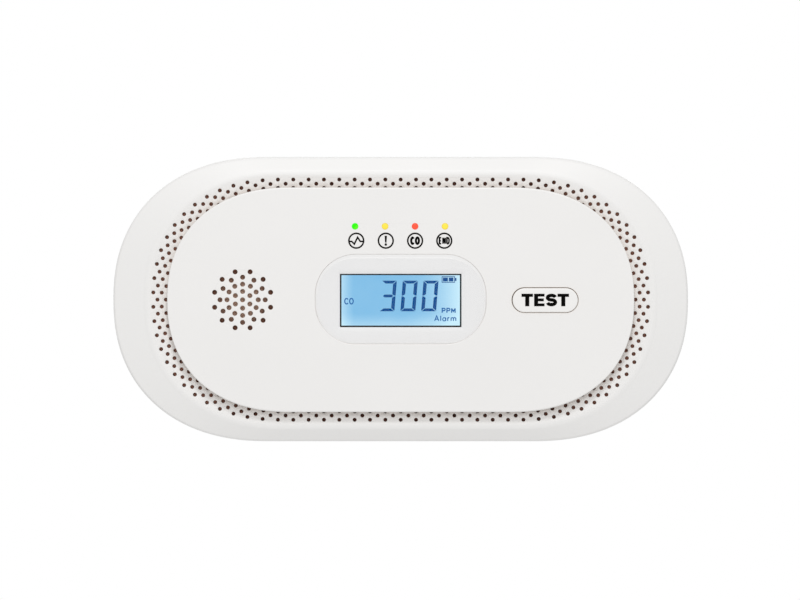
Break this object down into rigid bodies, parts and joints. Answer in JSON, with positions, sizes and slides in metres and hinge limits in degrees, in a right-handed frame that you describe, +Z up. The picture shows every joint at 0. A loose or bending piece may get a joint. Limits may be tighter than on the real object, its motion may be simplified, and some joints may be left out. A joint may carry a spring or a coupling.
{
  "type": "carbon monoxide detector",
  "caption": "Wall-mounted carbon monoxide detector with a lit display, perforated ring vent, speaker grille, status lights, test button and rear battery door.",
  "frame": {"origin": "centre of the back face, midway between the entries of the two wall keyholes", "axes": "+X to the right as seen from the front, +Z up, the front faces -Y and the back face lies on the wall plane Y = 0"},
  "size_m": [0.1512, 0.036, 0.0746],
  "materials": {
    "shell_white": "fine moulded grain, satin",
    "plate_white": "fine moulded grain, satin",
    "button_white": "fine moulded grain, satin",
    "lens_clear": "clear polycarbonate",
    "white_tape": "thin white tape",
    "black_foam": "closed-cell foam",
    "lcd_panel": "lit liquid-crystal panel, dark blue segments on light blue",
    "light_guide": "milky acrylic",
    "frame_plastic": "moulded",
    "elastomer": "layered silicone",
    "screen_fabric": "fine dark brown nonwoven",
    "black_plastic": "moulded",
    "green_light": "lit light pipe",
    "yellow_light": "lit light pipe",
    "red_light": "lit light pipe",
    "led_white": "moulded LED package",
    "board_laminate": "green solder mask",
    "ferrite": "dark sintered ferrite",
    "capacitor_can": "printed sleeve",
    "sensor_case": "drawn steel can",
    "sounder_case": "moulded",
    "brass_disc": "plain",
    "label_paper": "blank silver-white label",
    "cell_sleeve": "plain printed sleeve",
    "nickel_wire": "nickel plated spring steel",
    "lead_insulation": "PVC insulation",
    "screw_steel": "zinc plated"
  },
  "bodies": {
    "housing": {"front_cover": "shell_white", "face_plate": "plate_white", "display_lens": "lens_clear", "lens_adhesive": "white_tape", "lcd_seal": "black_foam", "lcd_glass": "lcd_panel", "lcd_backlight": "light_guide", "lcd_frame": "frame_plastic", "lcd_connector": "elastomer", "vent_screen": "screen_fabric", "grille_screen": "screen_fabric", "tact_switch": "black_plastic", "light_pipe_power": "green_light", "light_pipe_fault": "yellow_light", "light_pipe_alarm": "red_light", "light_pipe_end": "yellow_light", "led_power": "led_white", "led_fault": "led_white", "led_alarm": "led_white", "led_end": "led_white", "main_board": "board_laminate", "microcontroller": "black_plastic", "inductor": "ferrite", "capacitors": "capacitor_can", "co_sensor": "sensor_case", "sensor_filter_cap": "black_plastic", "sounder_housing": "sounder_case", "piezo_disc": "brass_disc", "sounder_gasket": "black_foam", "rear_cover": "shell_white", "battery_1": "cell_sleeve", "battery_2": "cell_sleeve", "battery_3": "cell_sleeve", "contact_springs": "nickel_wire", "contact_plates": "nickel_wire", "battery_leads": "lead_insulation", "cover_screws": "screw_steel", "board_screws": "screw_steel"},
    "button": {"test_button": "button_white"},
    "plunger": {"tact_plunger": "black_plastic"},
    "door": {"battery_door": "shell_white", "rating_label": "label_paper"}
  },
  "joints": [
    {"name": "button_press", "type": "slide", "parent": "housing", "child": "button", "axis": [0, 1, 0], "range_m": [0, 0.0006], "stiffness_N_per_m": 400, "springref_m": -0.0005},
    {"name": "plunger_press", "type": "slide", "parent": "housing", "child": "plunger", "axis": [0, 1, 0], "range_m": [0, 0.0006]},
    {"name": "door_hinge", "type": "hinge", "parent": "housing", "child": "door", "pos_m": [0, -0.0016, 0.02145], "axis": [1, 0, 0], "range_deg": [0, 95]}
  ],
  "couplings": [
    {"joint": "plunger_press", "follows": "button_press", "ratio": 1}
  ]
}
